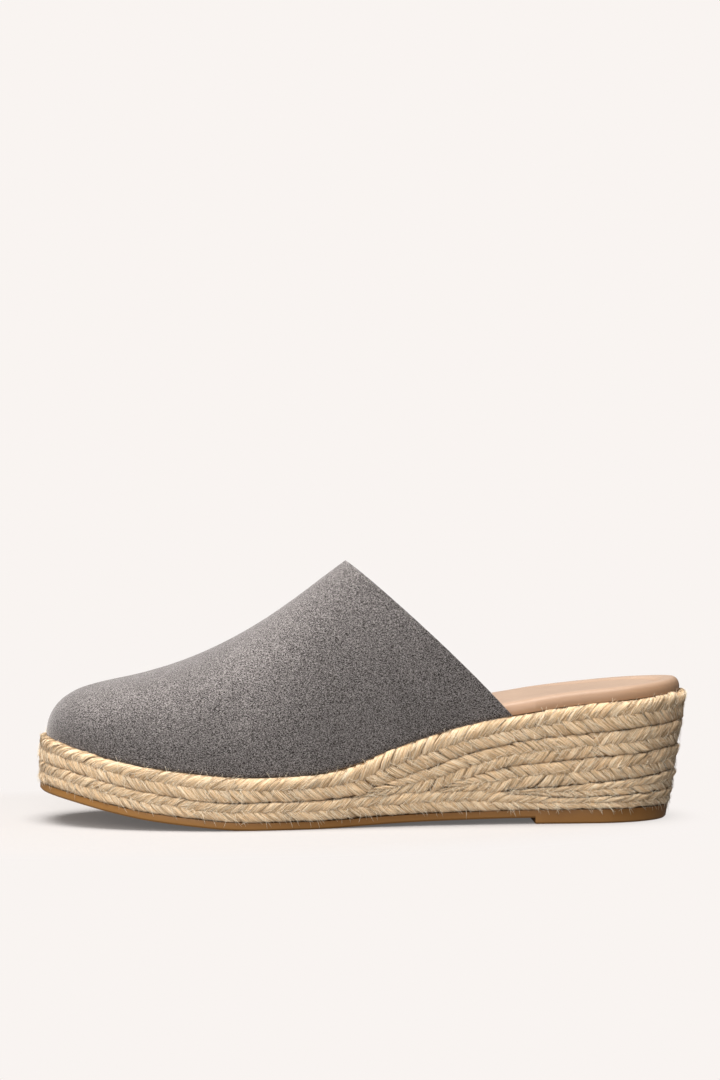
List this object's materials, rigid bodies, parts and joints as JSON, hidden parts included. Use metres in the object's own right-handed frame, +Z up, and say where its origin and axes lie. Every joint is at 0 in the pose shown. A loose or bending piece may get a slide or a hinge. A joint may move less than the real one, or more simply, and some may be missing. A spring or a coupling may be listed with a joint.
{
  "type": "wedge mule",
  "caption": "Left closed-toe wedge mule: hollow suede upper open at the back, leather insole, stacked braided jute rows and a moulded gum rubber outsole.",
  "frame": {"origin": "on the floor under the middle of the shoe's plan", "axes": "-X towards the toe, +X towards the heel, -Y the outer side of the foot, +Y the inner side, +Z up"},
  "size_m": [0.258, 0.0934, 0.1033],
  "materials": {
    "gum_rubber": "satin moulded gum rubber",
    "jute": "dry braided natural fibre with stray hairs",
    "insole_leather": "smooth vegetable tan with fine creases and a rolled rim",
    "suede": "short-napped grey suede, raw edge at the collar"
  },
  "bodies": {
    "root": {"outsole": "gum_rubber", "jute_row_bottom": "jute", "jute_row_wedge_1": "jute", "jute_row_wedge_2": "jute", "jute_row_wedge_3": "jute", "jute_row_top": "jute", "insole": "insole_leather", "upper": "suede"}
  },
  "joints": []
}
